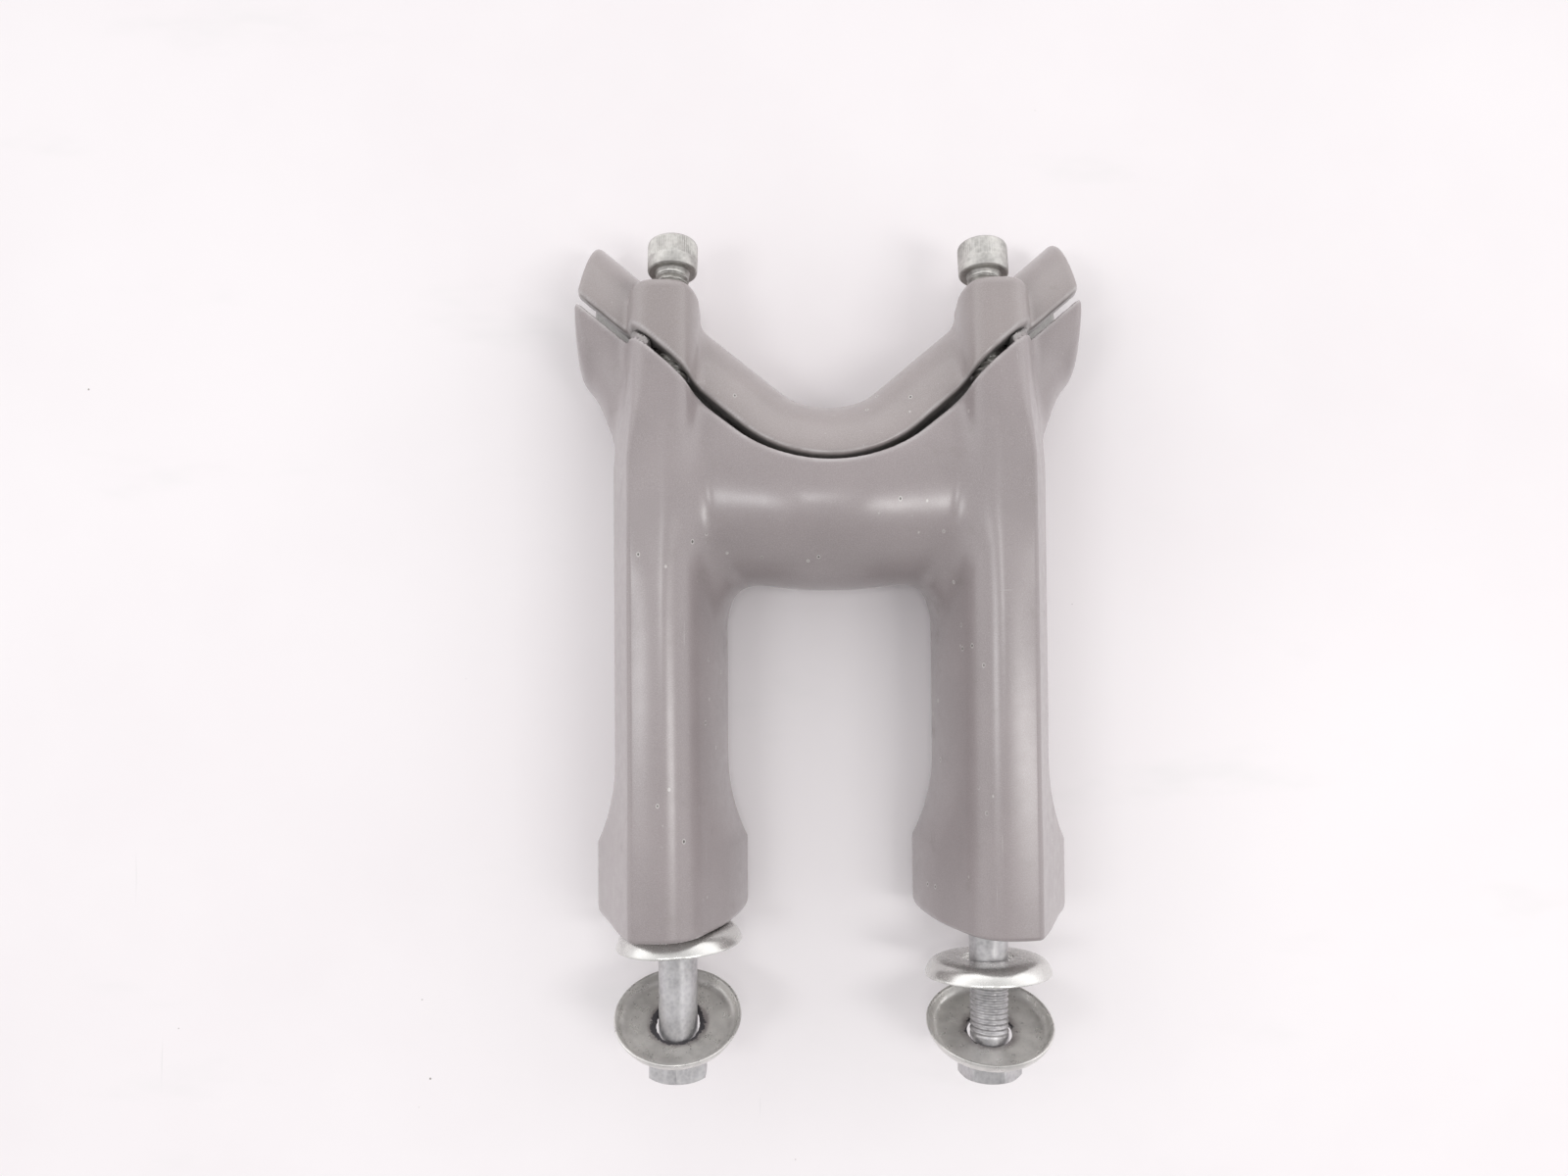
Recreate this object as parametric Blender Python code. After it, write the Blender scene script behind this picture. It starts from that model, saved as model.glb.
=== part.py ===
"""Handlebar riser with its top clamp, lying on its back.

+X is to the right, +Y runs up the legs towards the bar clamp, +Z points away from the
surface the riser lies on. The origin is the middle of the lower face of the whole assembly's box.
All lengths are in metres. A height called "along" is measured from the plane of the two leg feet.
"""
import math

import bmesh
import bpy
from mathutils import Matrix, Vector

MM = 0.001

# ---- driving dimensions ------------------------------------------------------------------
INCH = 25.4 * MM
FEET_Y = -76.8 * MM              # where the plane of the feet lies in the assembly's frame
BOLT_SPACING = 3.5 * INCH        # riser bolts, and the clamp screws above them
BOLT_AXIS_Z = 29.2 * MM          # riser bolt axis above the surface
BAR_DIAMETER = 1.0 * INCH        # handlebar the saddle is made for
BAR_ALONG = 126.8 * MM           # bar centre above the feet
CLAMP_LEAN = math.radians(14.5)  # the saddle leans back from the legs by this angle
BAR_ARM_ANGLE = math.radians(41.5)
BAR_BEND_RADIUS = 38.0 * MM
WING_REACH = 28.35 * MM          # the wings reach this far beyond the bolt axes

BAR_CLEARANCE = 0.15 * MM        # radial, between the bar and the saddle
PARTING_GAP = 1.4 * MM           # between the two castings before they are pulled down
PAD_GAP = 0.35 * MM              # left between a spacer pad and the top clamp
RUN_GAP = 0.30 * MM              # radial gap of a screw or bolt in its threaded hole
SEAT_GAP = 0.35 * MM             # gap where one piece rests on another

SCREW_RADIUS = 0.375 * INCH / 2
SCREW_LENGTH = 1.5 * INCH
SCREW_HEAD_RADIUS = 0.5625 * INCH / 2
SCREW_HEAD_HEIGHT = 0.375 * INCH
SCREW_SOCKET_AF = 0.3125 * INCH
SCREW_SOCKET_DEPTH = 5.0 * MM
SCREW_FORWARD = 19.0 * MM        # screw axis in front of the bar axis
SCREW_HOLE_RADIUS = SCREW_RADIUS + 0.42 * MM
BOSS_RISE = 23.41 * MM           # seat of a screw head above the bar arm there, along the screw
BOSS_FRONT = SCREW_FORWARD + 10.0 * MM  # front of a screw boss ahead of the bar axis
SCREW_PROUD_LEFT = 6.2 * MM      # how far each screw stands unscrewed
SCREW_PROUD_RIGHT = 4.7 * MM

BOLT_RADIUS = 0.4375 * INCH / 2
BOLT_LENGTH = 3.5 * INCH
BOLT_HEAD_AF = 0.625 * INCH
BOLT_HEAD_HEIGHT = 7.3 * MM
BOLT_OUT_LEFT = 35.5 * MM        # under the head to the feet, as the bolts stand
BOLT_OUT_RIGHT = 36.1 * MM

WASHER_RADIUS = 18.15 * MM
WASHER_HOLE_RADIUS = BOLT_RADIUS + 1.75 * MM
WASHER_STOCK = 1.5 * MM
WASHER_HEIGHT = 4.8 * MM
WASHER_FLAT_RADIUS = 12.4 * MM

LEG_FRONT = 22.0 * MM            # front flat of a leg above the bolt axis
FRONT_BLEND = 4.0 * MM           # softness of the bend from a leg's front to a boss's front
LEG_BACK = 20.0 * MM             # back flat of a leg below the bolt axis
FOOT_BACK = BOLT_AXIS_Z          # back flat of a foot: it lies on the surface
FOOT_STRAIGHT = 22.0 * MM        # height of a foot's straight sides
FOOT_FLARE_END = 47.0 * MM
TUBE_FRONT = 19.0 * MM           # saddle casting in front of the bar axis
TUBE_UP = 21.2 * MM              # top clamp above the bar axis, in the middle
ARM_UP = 20.0 * MM                # and above it on the arms
CLAMP_SHORT = 1.8 * MM           # the top clamp's wings are this much shorter
CROSSBAR_ALONG = BAR_ALONG - 7.8 * MM
CROSSBAR_HALF = 23.0 * MM

BOLT_X = BOLT_SPACING / 2
WING_END_X = BOLT_X + WING_REACH
CLAMP_END_X = WING_END_X - CLAMP_SHORT
BAR_ARM_X = BAR_BEND_RADIUS * math.sin(BAR_ARM_ANGLE)  # the bar runs straight from here
BOSS_TOP = (
    BAR_BEND_RADIUS * (1 - math.cos(BAR_ARM_ANGLE))
    + (BOLT_X - BAR_ARM_X) * math.tan(BAR_ARM_ANGLE) + BOSS_RISE
)                                # seat of a screw head above the bar axis, along the screw
LEG_TOP = BAR_ALONG + BOSS_TOP + 23.2 * MM  # a leg is drawn up to here before it is cut
NECK_START = BAR_ALONG + 1.2 * MM  # a leg narrows to its screw boss between these heights
NECK_END = NECK_START + 30.0 * MM
CHANNEL_RADIUS = BAR_DIAMETER / 2 + BAR_CLEARANCE

# The clamp's own frame: x' along the row's X, y' up the screws, z' out of the saddle's front.
CLAMP_FRAME = Matrix.Translation((0, FEET_Y + BAR_ALONG, BOLT_AXIS_Z)) @ Matrix.Rotation(
    -CLAMP_LEAN, 4, "X"
)


# ---- scene helpers -----------------------------------------------------------------------
def clear_scene():
    for ob in list(bpy.data.objects):
        bpy.data.objects.remove(ob, do_unlink=True)
    for mesh in list(bpy.data.meshes):
        bpy.data.meshes.remove(mesh)


def material(name, colour, metallic, roughness):
    mat = bpy.data.materials.new(name)
    mat.use_nodes = True
    shader = mat.node_tree.nodes["Principled BSDF"]
    shader.inputs["Base Color"].default_value = (*colour, 1.0)
    shader.inputs["Metallic"].default_value = metallic
    shader.inputs["Roughness"].default_value = roughness
    mat.diffuse_color = (*colour, 1.0)
    return mat


def object_from_bmesh(name, bm, mat=None):
    bmesh.ops.recalc_face_normals(bm, faces=bm.faces)
    mesh = bpy.data.meshes.new(name)
    bm.to_mesh(mesh)
    bm.free()
    ob = bpy.data.objects.new(name, mesh)
    bpy.context.scene.collection.objects.link(ob)
    if mat:
        mesh.materials.append(mat)
    return ob


def combine(target, tool, operation):
    """Apply an exact Boolean of tool to target and throw the tool away."""
    tool.hide_render = True
    tool.display_type = "WIRE"
    mod = target.modifiers.new("combine", "BOOLEAN")
    mod.operation = operation
    mod.solver = "EXACT"
    mod.object = tool
    bpy.context.view_layer.update()
    graph = bpy.context.evaluated_depsgraph_get()
    mesh = bpy.data.meshes.new_from_object(target.evaluated_get(graph))
    target.modifiers.clear()
    bm = bmesh.new()
    bm.from_mesh(mesh)
    bmesh.ops.remove_doubles(bm, verts=bm.verts, dist=0.000002)
    bmesh.ops.dissolve_degenerate(bm, edges=bm.edges, dist=0.000002)
    bm.to_mesh(mesh)
    bm.free()
    old = target.data
    target.data = mesh
    mesh.name = target.name
    bpy.data.meshes.remove(old)
    tool_mesh = tool.data
    bpy.data.objects.remove(tool, do_unlink=True)
    bpy.data.meshes.remove(tool_mesh)
    return target


def put_origin(ob, point):
    """Move an object's origin to a point and leave its surface where it is."""
    ob.data.transform(Matrix.Translation(-Vector(point)))
    ob.location = Vector(point)


def shade(ob, angle=35.0):
    """Smooth the rounds and keep the edges that are sharper than the angle."""
    bm = bmesh.new()
    bm.from_mesh(ob.data)
    bmesh.ops.remove_doubles(bm, verts=bm.verts, dist=0.00001)
    bmesh.ops.dissolve_degenerate(bm, edges=bm.edges, dist=0.000005)
    limit = math.radians(angle)
    for face in bm.faces:
        face.smooth = True
    for edge in bm.edges:
        if len(edge.link_faces) == 2 and edge.calc_face_angle(0.0) > limit:
            edge.smooth = False
    bm.to_mesh(ob.data)
    bm.free()


# ---- shape helpers -----------------------------------------------------------------------
def loft(bm, rings):
    """Join rings of equally many points into a closed skin with flat ends."""
    rows = [[bm.verts.new(p) for p in ring] for ring in rings]
    count = len(rows[0])
    for low, high in zip(rows, rows[1:]):
        for i in range(count):
            j = (i + 1) % count
            bm.faces.new((low[i], low[j], high[j], high[i]))
    bm.faces.new(rows[0][::-1])
    bm.faces.new(rows[-1])


def rounded_outline(corners, radii, steps):
    """Points round a convex polygon whose corners are rounded by tangent arcs."""
    points = []
    count = len(corners)
    for i in range(count):
        here = Vector(corners[i])
        to_prev = (Vector(corners[i - 1]) - here)
        to_next = (Vector(corners[(i + 1) % count]) - here)
        prev_length, next_length = to_prev.length, to_next.length
        to_prev.normalize()
        to_next.normalize()
        half = to_prev.angle(to_next) / 2
        cut = radii[i] / math.tan(half)
        cut = min(cut, 0.45 * prev_length, 0.45 * next_length)
        start = here + to_prev * cut
        end = here + to_next * cut
        for k in range(steps + 1):
            t = k / steps
            points.append(start.lerp(here, t).lerp(here.lerp(end, t), t))
    return points


def lathe(profile, segments, matrix, name, mat=None):
    """Turn a closed profile of (radius, height) points about +Y; radius 0 closes on the axis."""
    bm = bmesh.new()
    rows = []
    for radius, height in profile:
        if radius == 0:
            rows.append([bm.verts.new(matrix @ Vector((0, height, 0)))])
        else:
            row = []
            for k in range(segments):
                a = 2 * math.pi * k / segments
                spot = Vector((radius * math.cos(a), height, radius * math.sin(a)))
                row.append(bm.verts.new(matrix @ spot))
            rows.append(row)
    pairs = list(zip(rows, rows[1:]))
    if len(rows[0]) > 1:
        pairs.append((rows[-1], rows[0]))
    for low, high in pairs:
        for k in range(segments):
            j = (k + 1) % segments
            if len(low) == 1 and len(high) == 1:
                continue
            if len(low) == 1:
                bm.faces.new((low[0], high[j], high[k]))
            elif len(high) == 1:
                bm.faces.new((low[k], low[j], high[0]))
            else:
                bm.faces.new((low[k], low[j], high[j], high[k]))
    return object_from_bmesh(name, bm, mat)


def hexagon_prism(af, low, high, turn, matrix, name):
    bm = bmesh.new()
    across = af / math.sqrt(3.0)
    rings = []
    for height in (low, high):
        ring = []
        for k in range(6):
            a = turn + math.pi * k / 3
            ring.append(matrix @ Vector((across * math.cos(a), height, across * math.sin(a))))
        rings.append(ring)
    loft(bm, rings)
    return object_from_bmesh(name, bm)


def block(low, high, matrix, name):
    bm = bmesh.new()
    x0, y0, z0 = low
    x1, y1, z1 = high
    rings = [
        [matrix @ Vector((x0, y, z0)), matrix @ Vector((x1, y, z0)),
         matrix @ Vector((x1, y, z1)), matrix @ Vector((x0, y, z1))]
        for y in (y0, y1)
    ]
    loft(bm, rings)
    return object_from_bmesh(name, bm)


def smooth_step(x, start, end):
    t = min(1.0, max(0.0, (x - start) / (end - start)))
    return t * t * (3 - 2 * t)


def mix(a, b, t):
    return a + (b - a) * t


# ---- the bar's path ----------------------------------------------------------------------
def bar_point(x):
    """Height of the bar's centre line above its lowest point, and its slope, at a given x."""
    side = abs(x)
    bend = BAR_BEND_RADIUS * math.sin(BAR_ARM_ANGLE)
    if side <= bend:
        slope = math.asin(side / BAR_BEND_RADIUS)
        height = BAR_BEND_RADIUS * (1 - math.cos(slope))
    else:
        slope = BAR_ARM_ANGLE
        height = BAR_BEND_RADIUS * (1 - math.cos(slope)) + (side - bend) * math.tan(slope)
    return height, math.copysign(slope, x) if x else 0.0


def path_stations(reach, arm_step):
    bend = BAR_BEND_RADIUS * math.sin(BAR_ARM_ANGLE)
    inner = [bend * math.sin(math.pi / 2 * k / 5) for k in range(1, 6)]
    outer = []
    x = bend + arm_step
    while x < reach:
        outer.append(x)
        x += arm_step
    outer.append(reach)
    half = inner + outer
    return [-x for x in reversed(half)] + [0.0] + half


def sweep(section, reach, arm_step, name):
    """Sweep section(x) -> list of (outward, forward) points along the bar's centre line."""
    bm = bmesh.new()
    rings = []
    for x in path_stations(reach, arm_step):
        height, slope = bar_point(x)
        normal = Vector((-math.sin(slope), math.cos(slope), 0))
        centre = Vector((x, height, 0))
        ring = []
        for outward, forward in section(x):
            ring.append(CLAMP_FRAME @ (centre + normal * outward + Vector((0, 0, forward))))
        rings.append(ring)
    loft(bm, rings)
    return object_from_bmesh(name, bm)


def egg(up, front, down, back, count):
    """A closed curve of four quarter ellipses; it starts at the top and goes to the front."""
    points = []
    for k in range(count):
        a = 2 * math.pi * k / count
        c, s = math.cos(a), math.sin(a)
        points.append(((up if c >= 0 else down) * c, (front if s >= 0 else back) * s))
    return points


# ---- the castings ------------------------------------------------------------------------
def leg_corners(along):
    """Corners (outboard, forward) of a leg's section, from the bolt axis, at a height."""
    flare = (FOOT_FLARE_END - along) / (FOOT_FLARE_END - FOOT_STRAIGHT)
    foot = min(1.0, max(0.0, flare)) ** 2
    neck = smooth_step(along, NECK_START, NECK_END)
    lean_front = BOSS_FRONT / math.cos(CLAMP_LEAN) - math.tan(CLAMP_LEAN) * (along - BAR_ALONG)
    apart = math.hypot(LEG_FRONT - lean_front, FRONT_BLEND)
    front = (LEG_FRONT + lean_front - apart) / 2
    front = min(front + 0.3 * MM, LEG_FRONT)
    outer = mix(mix(17.6, 24.2, foot), 12.3, neck) * MM
    inner = mix(mix(-14.8, -20.5, foot), -7.6, neck) * MM
    flat_outer = mix(11.0, 8.2, neck) * MM
    flat_inner = mix(-4.5, -3.6, neck) * MM
    back = mix(mix(LEG_BACK, FOOT_BACK, foot), 10.0 * MM, neck)
    side_outer = mix(mix(3.0, -8.0, foot) * MM, front - 6.0 * MM, neck)
    side_inner = mix(mix(0.0, -12.0, foot) * MM, front - 6.0 * MM, neck)
    side_low = mix(mix(-11.5, -19.0, foot), -5.0, neck) * MM
    back_outer = mix(mix(13.0, 16.0, foot), 9.0, neck) * MM
    back_inner = mix(mix(-9.0, -10.0, foot), -5.0, neck) * MM
    return [
        (flat_inner, front), (flat_outer, front), (outer, side_outer), (outer, side_low),
        (back_outer, -back), (back_inner, -back), (inner, side_low), (inner, side_inner),
    ]


def leg(side, top, name):
    """One leg with its flared foot and, above, the round boss for the clamp screw."""
    bm = bmesh.new()
    heights = [0.0, 0.6 * MM]
    heights += [mix(FOOT_STRAIGHT, FOOT_FLARE_END, t) for t in (0, 0.12, 0.27, 0.45, 0.7, 1)]
    heights += [mix(FOOT_FLARE_END, NECK_START, 0.5)]
    heights += [mix(NECK_START, NECK_END, t) for t in (0, 0.2, 0.4, 0.6, 0.8, 1)]
    heights += [mix(NECK_END, top, t) for t in (0.19, 0.4, 0.62, 1)]
    radii = [2.6, 1.4, 3.0, 3.0, 3.0, 3.0, 3.0, 5.0]
    rings = []
    for along in heights:
        inset = 0.6 * MM if along == 0.0 else 0.0
        ring = []
        for outboard, forward in rounded_outline(leg_corners(along), [r * MM for r in radii], 2):
            length = math.hypot(outboard, forward)
            shrink = (length - inset) / length
            ring.append(Vector((
                side * (BOLT_X + outboard * shrink),
                FEET_Y + along,
                BOLT_AXIS_Z + forward * (shrink if forward > -FOOT_BACK + 0.0001 else 1.0),
            )))
        rings.append(ring)
    loft(bm, rings)
    return object_from_bmesh(name, bm)


def crossbar(name):
    """The round bar between the legs, with its lower edge flared into them."""
    bm = bmesh.new()
    inward = [(-22.85, -0.7), (-20.45, -0.35), (-18.45, 0.6), (-16.45, 2.4), (-15.45, 4.2),
              (-14.85, 6.6), (-13.95, 8.2), (-8.45, 8.6)]
    half = [(0.0, 0.0), (9.0, -0.25), (16.0, -0.7)]
    half += [(BOLT_X / MM + from_bolt, flare) for from_bolt, flare in inward]
    rings = []
    for x, flare in [(-x, f) for x, f in reversed(half[1:])] + half:
        ring = []
        for up, forward in egg(CROSSBAR_HALF, 0.0200, CROSSBAR_HALF + flare * MM, 0.0205, 28):
            ring.append(Vector((x * MM, FEET_Y + CROSSBAR_ALONG + up, BOLT_AXIS_Z - 0.001 + forward)))
        rings.append(ring)
    loft(bm, rings)
    return object_from_bmesh(name, bm)


def lower_section(x):
    side = abs(x) / MM
    beyond = (abs(x) - BOLT_X) / MM
    wing = smooth_step(beyond, -10.45, 15.55)
    down = mix(24.0, 15.2, smooth_step(beyond, -2.45, 16.55))
    front = mix(TUBE_FRONT / MM, 16.8, wing)
    back = mix(18.0, 15.0, smooth_step(side, 10.0, 45.0))
    return [(a * MM, b * MM) for a, b in egg(18.0, front, down, back, 28)]


def upper_section(x):
    side = abs(x) / MM
    beyond = (abs(x) - BOLT_X) / MM
    arm = smooth_step(side, 4.0, 30.0)
    up = mix(mix(TUBE_UP / MM, ARM_UP / MM, arm), 16.5, smooth_step(beyond, 15.55, 33.55))
    front = mix(TUBE_FRONT / MM, 16.8, smooth_step(beyond, -10.45, 15.55))
    back = mix(18.0, 15.0, smooth_step(side, 10.0, 45.0))
    return [(a * MM, b * MM) for a, b in egg(up, front, 18.0, back, 28)]


def parting_tool(offset, upper, name):
    """Everything on one side of the ruled surface that holds the bar's centre line."""
    bm = bmesh.new()
    reach = WING_END_X + 27.2 * MM
    outline = []
    for x in path_stations(reach, 0.0125):
        height, slope = bar_point(x)
        spot = (x - math.sin(slope) * offset, height + math.cos(slope) * offset)
        outline.append(spot)
    far = 0.16 if upper else -0.09
    outline.append((reach, far))
    outline.append((-reach, far))
    rings = []
    for forward in (-0.06, 0.06):
        rings.append([CLAMP_FRAME @ Vector((x, y, forward)) for x, y in outline])
    loft(bm, rings)
    return object_from_bmesh(name, bm)


def channel_tool(name):
    """The bar itself, with its clearance: the room the saddle leaves for it."""
    points = egg(CHANNEL_RADIUS, CHANNEL_RADIUS, CHANNEL_RADIUS, CHANNEL_RADIUS, 36)
    return sweep(lambda x: points, WING_END_X + 25.2 * MM, 0.020, name)


def pad_tool(side, name):
    """A cast spacer pad on the riser's parting face, beside the screw boss."""
    x = side * (BOLT_X + 8.05 * MM)
    height, slope = bar_point(x)
    local = CLAMP_FRAME @ Matrix.Translation((x, height, 0)) @ Matrix.Rotation(slope, 4, "Z")
    low = (-4.0 * MM, -3.0 * MM, 14.4 * MM)
    high = (4.0 * MM, PARTING_GAP / 2 - PAD_GAP, 24.0 * MM)
    return block(low, high, local, name)


def boss_top_tool(name):
    """Everything above the seats of the screw heads, near the bosses only."""
    wide = BOLT_X + 13.55 * MM
    low = (-wide, BOSS_TOP, SCREW_FORWARD - 0.0142)
    return block(low, (wide, BOSS_TOP + 0.07, 0.06), CLAMP_FRAME, name)


def rod(radius, low, high, matrix, name, segments=32):
    return lathe([(0, low), (radius, low), (radius, high), (0, high)], segments, matrix, name)


def screw_place(side):
    return CLAMP_FRAME @ Matrix.Translation((side * BOLT_X, 0, SCREW_FORWARD))


def bolt_place(side):
    return Matrix.Translation((side * BOLT_X, FEET_Y, BOLT_AXIS_Z))


def wings_tool(end, name):
    """The slab between the wings' end planes."""
    return block((-end, -0.3, -0.1), (end, 0.3, 0.2), Matrix.Identity(4), name)


def riser_body(paint):
    body = sweep(lower_section, WING_END_X + 23.2 * MM, 0.008, "riser_body")
    combine(body, wings_tool(WING_END_X, "wings"), "INTERSECT")
    combine(body, crossbar("bar"), "UNION")
    combine(body, leg(1, LEG_TOP, "leg_right"), "UNION")
    combine(body, leg(-1, LEG_TOP, "leg_left"), "UNION")
    above = parting_tool(-PARTING_GAP / 2, True, "above")
    combine(above, pad_tool(1, "pad_right"), "DIFFERENCE")
    combine(above, pad_tool(-1, "pad_left"), "DIFFERENCE")
    combine(body, above, "DIFFERENCE")
    combine(body, channel_tool("bar_room"), "DIFFERENCE")
    for side in (1, -1):
        depth = BOSS_TOP - SCREW_LENGTH - 1.2 * MM
        thread = rod(SCREW_RADIUS + RUN_GAP, depth, 0.08, screw_place(side), "thread_room")
        combine(body, thread, "DIFFERENCE")
        hole = rod(BOLT_RADIUS + RUN_GAP, -0.02, 60.0 * MM, bolt_place(side), "bolt_room")
        combine(body, hole, "DIFFERENCE")
    body.data.materials.clear()
    body.data.materials.append(paint)
    put_origin(body, (0, FEET_Y, BOLT_AXIS_Z))
    shade(body, 28.0)
    return body


def top_clamp(paint):
    body = sweep(upper_section, WING_END_X + 23.2 * MM, 0.008, "top_clamp")
    combine(body, wings_tool(CLAMP_END_X, "wings"), "INTERSECT")
    boss_right = leg(1, LEG_TOP, "boss_right")
    boss_left = leg(-1, LEG_TOP, "boss_left")
    for boss in (boss_right, boss_left):
        combine(boss, boss_top_tool("boss_top"), "DIFFERENCE")
        combine(body, boss, "UNION")
    below = parting_tool(PARTING_GAP / 2, True, "kept")
    combine(body, below, "INTERSECT")
    combine(body, channel_tool("bar_room"), "DIFFERENCE")
    for side in (1, -1):
        hole = rod(SCREW_HOLE_RADIUS, -0.02, 0.12, screw_place(side), "screw_room")
        combine(body, hole, "DIFFERENCE")
    body.data.materials.clear()
    body.data.materials.append(paint)
    put_origin(body, CLAMP_FRAME @ Vector((0, 0, 0)))
    shade(body, 28.0)
    return body


# ---- the hardware ------------------------------------------------------------------------
def clamp_screw(side, proud, zinc, name):
    """A socket head cap screw; its head's seat is at the boss top plus how proud it stands."""
    seat = BOSS_TOP + proud
    edge = 0.7 * MM
    tip = 1.1 * MM
    place = screw_place(side) @ Matrix.Translation((0, seat, 0))
    profile = [
        (0, -SCREW_LENGTH), (SCREW_RADIUS - tip, -SCREW_LENGTH),
        (SCREW_RADIUS, -SCREW_LENGTH + tip), (SCREW_RADIUS, 0.0),
        (SCREW_HEAD_RADIUS - 0.3 * MM, 0.0), (SCREW_HEAD_RADIUS, 0.3 * MM),
        (SCREW_HEAD_RADIUS, SCREW_HEAD_HEIGHT - edge),
        (SCREW_HEAD_RADIUS - edge, SCREW_HEAD_HEIGHT), (0, SCREW_HEAD_HEIGHT),
    ]
    screw = lathe(profile, 36, place, name, zinc)
    socket = hexagon_prism(SCREW_SOCKET_AF, SCREW_HEAD_HEIGHT - SCREW_SOCKET_DEPTH, 0.03,
                           0.0, place, "socket")
    combine(screw, socket, "DIFFERENCE")
    screw.data.materials.clear()
    screw.data.materials.append(zinc)
    put_origin(screw, place @ Vector((0, 0, 0)))
    shade(screw)
    return screw


def riser_bolt(side, out, turn, zinc, name):
    """A hex head bolt, head down: its seat stands clear of the foot by out."""
    place = bolt_place(side) @ Matrix.Translation((0, -out, 0))
    across_corners = BOLT_HEAD_AF / math.sqrt(3.0)
    crown = 1.3 * MM
    bolt = hexagon_prism(BOLT_HEAD_AF, -BOLT_HEAD_HEIGHT, -0.4 * MM, turn, place, name)
    profile = [
        (0, -BOLT_HEAD_HEIGHT), (BOLT_HEAD_AF / 2 - 0.2 * MM, -BOLT_HEAD_HEIGHT),
        (across_corners + 0.3 * MM, -BOLT_HEAD_HEIGHT + crown),
        (across_corners + 0.3 * MM, 0.01), (0, 0.01),
    ]
    combine(bolt, lathe(profile, 36, place, "crown"), "INTERSECT")
    face = BOLT_HEAD_AF / 2 - 0.3 * MM
    tip = 1.2 * MM
    shank = [
        (0, -2.0 * MM), (face, -2.0 * MM), (face, 0.0), (BOLT_RADIUS, 0.0),
        (BOLT_RADIUS, BOLT_LENGTH - tip), (BOLT_RADIUS - tip, BOLT_LENGTH), (0, BOLT_LENGTH),
    ]
    combine(bolt, lathe(shank, 36, place, "shank"), "UNION")
    bolt.data.materials.clear()
    bolt.data.materials.append(zinc)
    put_origin(bolt, place @ Vector((0, 0, 0)))
    shade(bolt)
    return bolt


def washer_profile():
    """Section of a pressed cup washer: flat floor at height 0, rim lip at its full height."""
    hole, flat, rim = WASHER_HOLE_RADIUS, WASHER_FLAT_RADIUS, WASHER_RADIUS
    stock, height = WASHER_STOCK, WASHER_HEIGHT
    return [
        (hole, 0.0), (flat, 0.0), (flat + 2.2 * MM, 0.5 * MM), (flat + 4.3 * MM, 1.8 * MM),
        (rim - 1.0 * MM, height - 1.5 * MM), (rim, height - 1.1 * MM), (rim, height - 0.3 * MM),
        (rim - 0.5 * MM, height), (rim - 1.5 * MM, height - 0.1 * MM),
        (flat + 3.6 * MM, 3.0 * MM), (flat + 1.7 * MM, 1.9 * MM), (flat - 0.3 * MM, stock),
        (hole, stock),
    ]


def cup_washer(side, floor, facing, drop, tilt_x, tilt_z, zinc, name):
    """A cup washer on its bolt: floor is its centre from the feet, facing +1 opens upwards."""
    place = bolt_place(side) @ Matrix.Translation((0, floor, -drop))
    place = place @ Matrix.Rotation(tilt_z, 4, "Z") @ Matrix.Rotation(tilt_x, 4, "X")
    if facing < 0:
        place = place @ Matrix.Rotation(math.pi, 4, "X")
    washer = lathe(washer_profile(), 40, place, name, zinc)
    put_origin(washer, bolt_place(side) @ Vector((0, floor, 0)))
    shade(washer, 40.0)
    return washer


# ---- assembly ----------------------------------------------------------------------------
def main():
    clear_scene()
    paint = material("casting_paint", (0.42, 0.39, 0.38), 0.15, 0.36)
    clamp_paint = material("clamp_paint", (0.44, 0.41, 0.40), 0.15, 0.36)
    screw_zinc = material("screw_zinc", (0.62, 0.61, 0.58), 1.0, 0.38)
    bolt_zinc = material("bolt_zinc", (0.55, 0.55, 0.56), 1.0, 0.40)
    washer_zinc = material("washer_zinc", (0.66, 0.65, 0.62), 1.0, 0.32)

    riser_body(paint)
    top_clamp(clamp_paint)
    clamp_screw(-1, SCREW_PROUD_LEFT, screw_zinc, "clamp_screw_left")
    clamp_screw(1, SCREW_PROUD_RIGHT, screw_zinc, "clamp_screw_right")
    riser_bolt(-1, BOLT_OUT_LEFT, math.radians(30), bolt_zinc, "riser_bolt_left")
    riser_bolt(1, BOLT_OUT_RIGHT, math.radians(10), bolt_zinc, "riser_bolt_right")
    hang = WASHER_HOLE_RADIUS - BOLT_RADIUS - SEAT_GAP
    cup_washer(-1, -1.0 * MM, -1, hang, 0.0, math.radians(3.5), washer_zinc,
               "upper_cup_washer_left")
    cup_washer(1, -10.2 * MM, -1, hang, math.radians(-3), math.radians(1), washer_zinc,
               "upper_cup_washer_right")
    tilt = math.radians(31)
    centred = math.sin(tilt) * WASHER_STOCK / 2
    cup_washer(-1, -BOLT_OUT_LEFT + 5.75 * MM, 1, centred, tilt, 0.0, washer_zinc,
               "lower_cup_washer_left")
    tilt = math.radians(22.5)
    centred = math.sin(tilt) * WASHER_STOCK / 2
    cup_washer(1, -BOLT_OUT_RIGHT + 3.75 * MM, 1, centred, tilt, 0.0, washer_zinc,
               "lower_cup_washer_right")


main()
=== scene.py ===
"""Looks of the handlebar riser: fine castings, real hardware, paint and zinc, and a studio."""

import math

import bmesh
import bpy
import numpy as np
from mathutils import Matrix, Vector


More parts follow.
